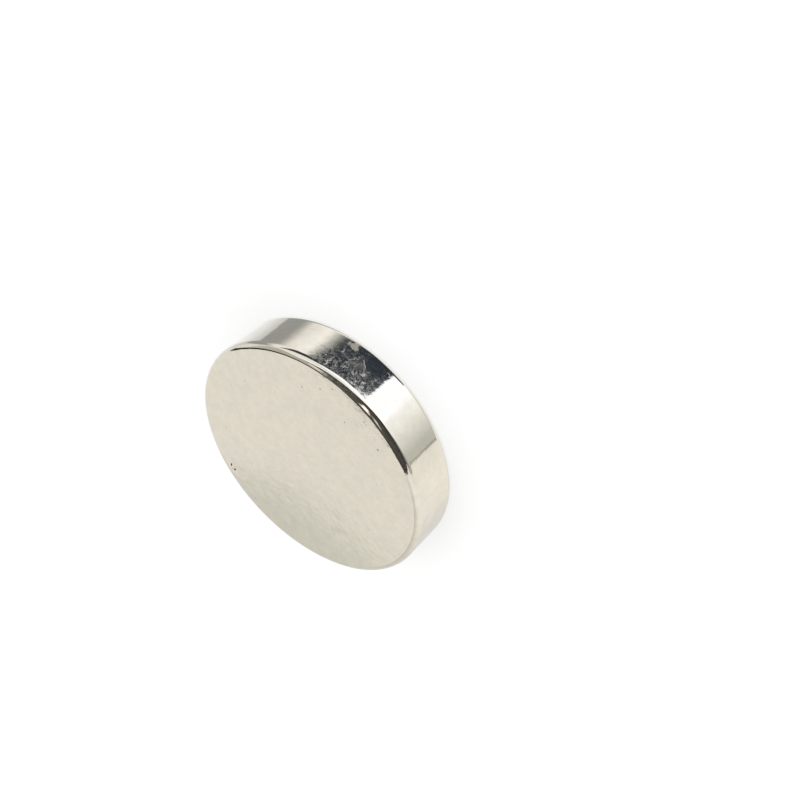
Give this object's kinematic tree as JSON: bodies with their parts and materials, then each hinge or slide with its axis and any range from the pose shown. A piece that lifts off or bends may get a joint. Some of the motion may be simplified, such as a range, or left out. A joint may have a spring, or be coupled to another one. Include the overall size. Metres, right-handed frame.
{
  "type": "disc magnet",
  "caption": "Flat round disc magnet with a bright nickel-plated finish, two plane faces and small rounded edges.",
  "frame": {"origin": "centre of the back face, which the disc lies on", "axes": "+Z along the disc's axis, from the back face to the front face"},
  "size_m": [0.02, 0.02, 0.004],
  "materials": {
    "nickel_plating": "bright nickel plating with fine handling marks"
  },
  "bodies": {
    "root": {"magnet_disc": "nickel_plating"}
  },
  "joints": []
}
